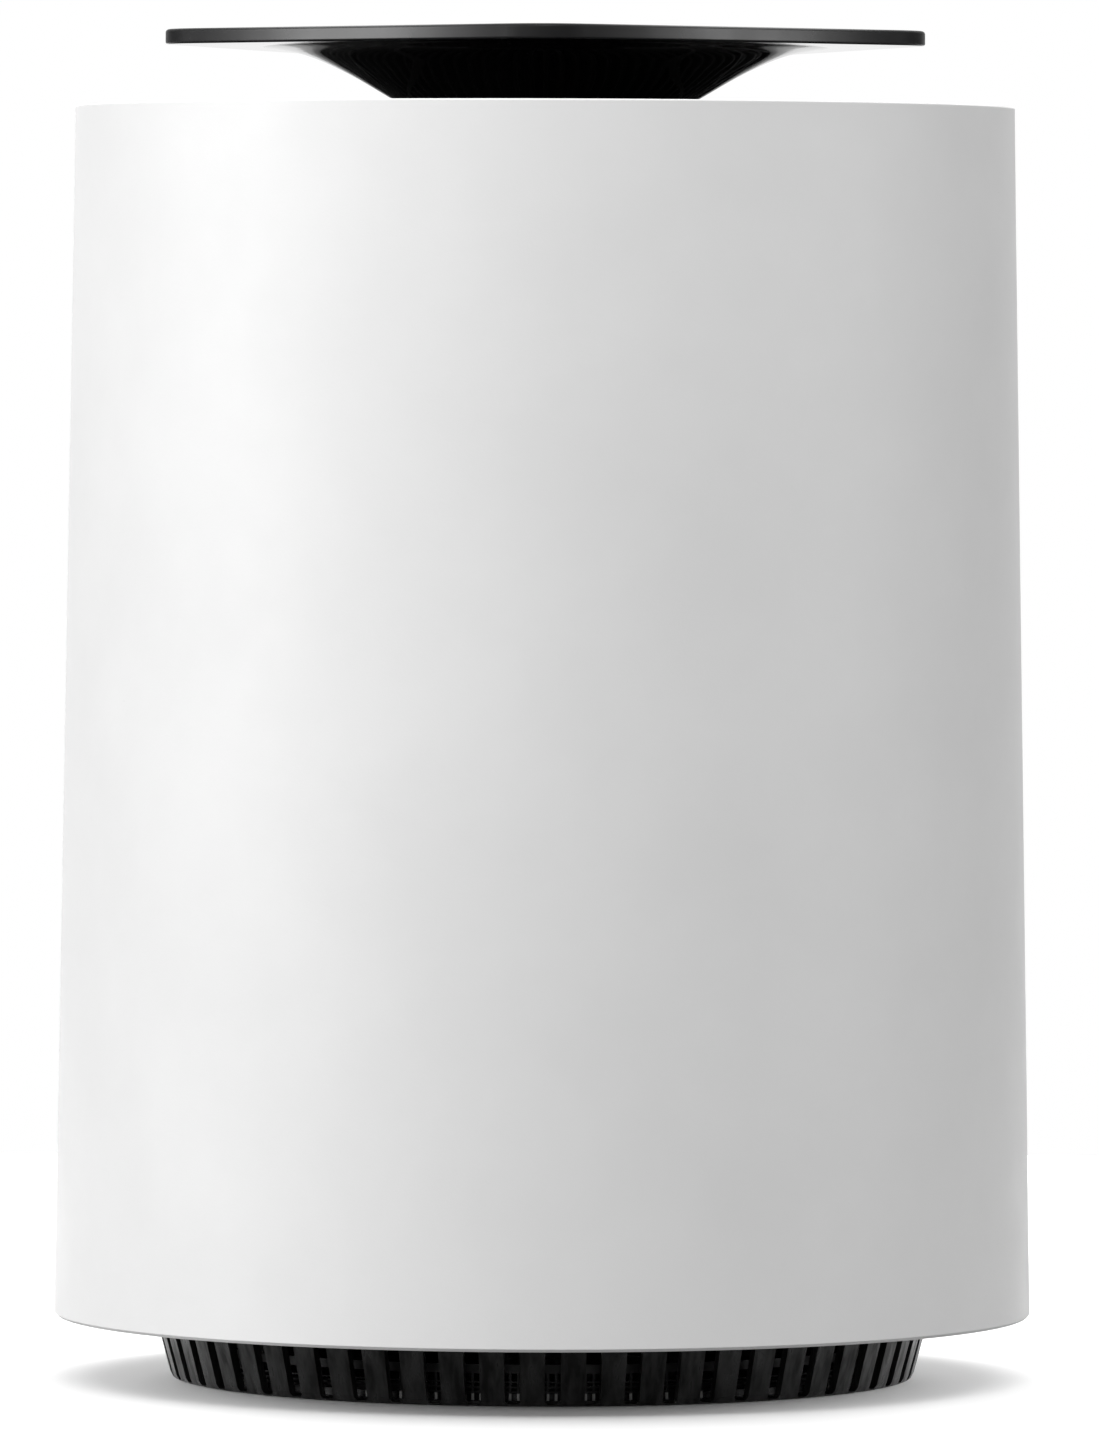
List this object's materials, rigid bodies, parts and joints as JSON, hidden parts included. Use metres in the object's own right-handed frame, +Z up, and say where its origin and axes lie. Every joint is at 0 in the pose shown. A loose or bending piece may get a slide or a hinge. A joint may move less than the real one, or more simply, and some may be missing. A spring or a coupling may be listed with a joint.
{
  "type": "air purifier",
  "caption": "Round free-standing air purifier: tapered shell on a slotted foot, ring filter, centrifugal fan and a flared outlet under a pentagon top plate.",
  "frame": {"origin": "on the floor at the centre of the round foot", "axes": "+Z up along the fan's axis; the front, with a corner of the top plate, faces -Y; +X to the right seen from the front"},
  "size_m": [0.3405, 0.3406, 0.4686],
  "materials": {
    "white_shell": "fine matte moulded plastic",
    "black_gloss": "piano black gloss",
    "black_satin": "satin black moulded plastic",
    "dark_grille": "charcoal moulded plastic",
    "light_duct": "pale grey moulded plastic",
    "rubber_pad": "soft rubber",
    "filter_paper": "pleated glass-fibre paper",
    "filter_carbon": "carbon-coated foam",
    "filter_net": "fine woven net",
    "filter_frame": "moulded filter cap",
    "seal_foam": "closed-cell foam",
    "glass_panel": "smoked touch glass",
    "light_guide": "frosted light guide",
    "steel_bright": "zinc-plated steel",
    "lamination": "stacked laminations",
    "copper_coil": "enamelled copper wire",
    "magnet_dark": "sintered magnet",
    "circuit_board": "solder-masked board",
    "part_black": "moulded electronic part",
    "brass_pin": "plated pin",
    "wire_sleeve": "wire insulation"
  },
  "bodies": {
    "base": {"base_grille": "black_satin", "base_plate": "black_satin", "base_screws": "steel_bright", "rubber_feet": "rubber_pad", "prefilter_frame": "dark_grille", "filter_seat": "black_satin", "safety_magnet": "magnet_dark"},
    "filter": {"filter_bottom_cap": "filter_frame", "filter_top_cap": "filter_frame", "filter_pleats": "filter_paper", "filter_carbon_layer": "filter_carbon", "filter_inner_core": "filter_net", "filter_outer_net": "filter_net", "filter_gasket": "seal_foam"},
    "housing": {"outer_shell": "white_shell", "bottom_ring": "white_shell", "bottom_screws": "steel_bright", "fan_deck": "light_duct", "deck_screws": "steel_bright", "inlet_guard": "dark_grille", "inner_duct": "light_duct", "diffuser": "dark_grille", "outlet_grille": "dark_grille", "motor_stator": "lamination", "stator_coils": "copper_coil", "motor_bearings": "steel_bright", "motor_board": "circuit_board", "trumpet_deflector": "black_gloss", "top_plate": "black_gloss", "plate_screws": "steel_bright", "touch_panel": "glass_panel", "light_ring": "light_guide", "display_board": "circuit_board", "status_leds": "light_guide", "button_switch": "part_black", "control_board": "circuit_board", "power_supply": "part_black", "mains_inlet": "part_black", "inlet_pins": "brass_pin", "cable_duct": "light_duct", "wiring_loom": "wire_sleeve", "air_sensor": "part_black", "reed_sensor": "part_black"},
    "fan": {"impeller": "light_duct", "rotor_can": "steel_bright", "rotor_magnets": "magnet_dark", "motor_shaft": "steel_bright", "shaft_clip": "steel_bright"},
    "button": {"power_button": "black_satin"}
  },
  "joints": [
    {"name": "filter_lift", "type": "slide", "parent": "base", "child": "filter", "axis": [0, 0, 1], "range_m": [0, 0.15]},
    {"name": "housing_lift", "type": "slide", "parent": "filter", "child": "housing", "axis": [0, 0, 1], "range_m": [0, 0.3]},
    {"name": "fan_spin", "type": "hinge", "parent": "housing", "child": "fan", "pos_m": [0, 0, 0.36], "axis": [0, 0, 1], "continuous": true},
    {"name": "button_press", "type": "slide", "parent": "housing", "child": "button", "axis": [0, 0, -1], "range_m": [0, 0.0008], "stiffness_N_per_m": 900, "springref_m": -0.0006}
  ]
}
